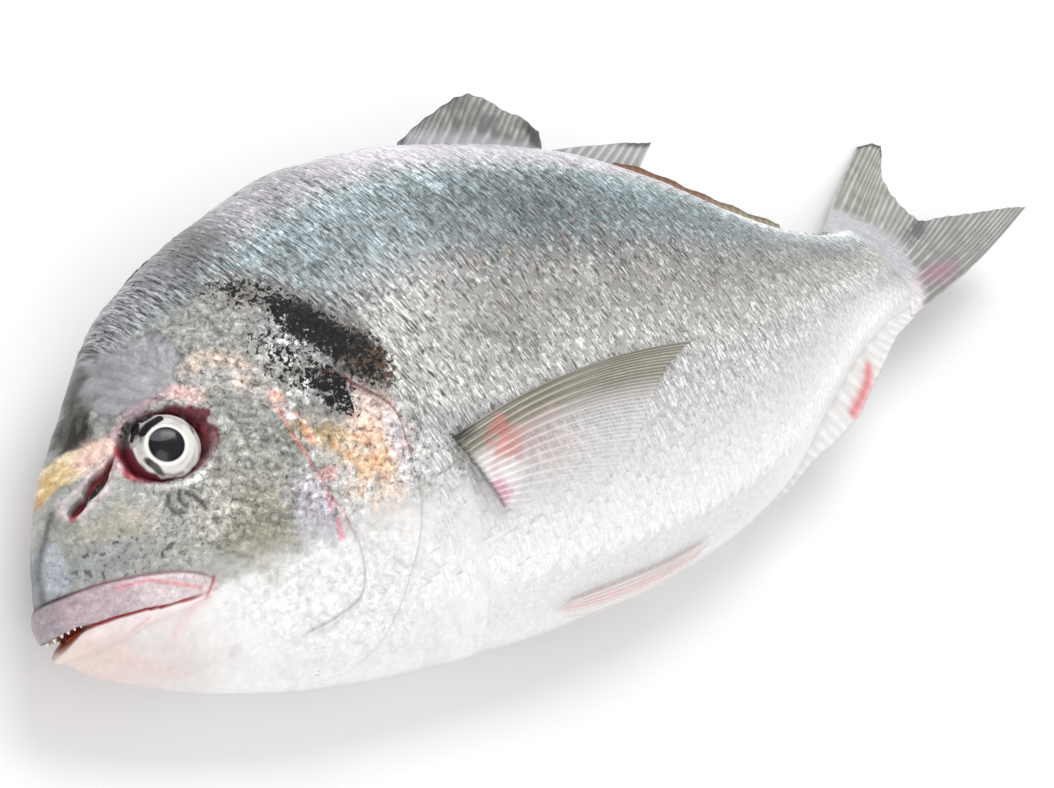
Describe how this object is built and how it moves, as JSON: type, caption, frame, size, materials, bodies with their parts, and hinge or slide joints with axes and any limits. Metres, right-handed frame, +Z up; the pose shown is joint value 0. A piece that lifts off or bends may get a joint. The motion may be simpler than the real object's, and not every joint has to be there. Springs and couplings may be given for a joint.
{
  "type": "whole raw sea bream",
  "caption": "Whole raw silver sea bream lying on its side: deep body with a blunt head, folded fins and a forked tail",
  "frame": {"origin": "on the table plane, under the middle of the bounding box of the lying fish", "axes": "+X from snout to tail, +Y towards the back, +Z up, out of the left flank, which is the side shown"},
  "size_m": [0.3382, 0.1138, 0.0443],
  "materials": {
    "fish_skin": "wet silver scales, blue-grey on the back and white on the belly"
  },
  "bodies": {
    "root": {"fish": "fish_skin"}
  },
  "joints": []
}
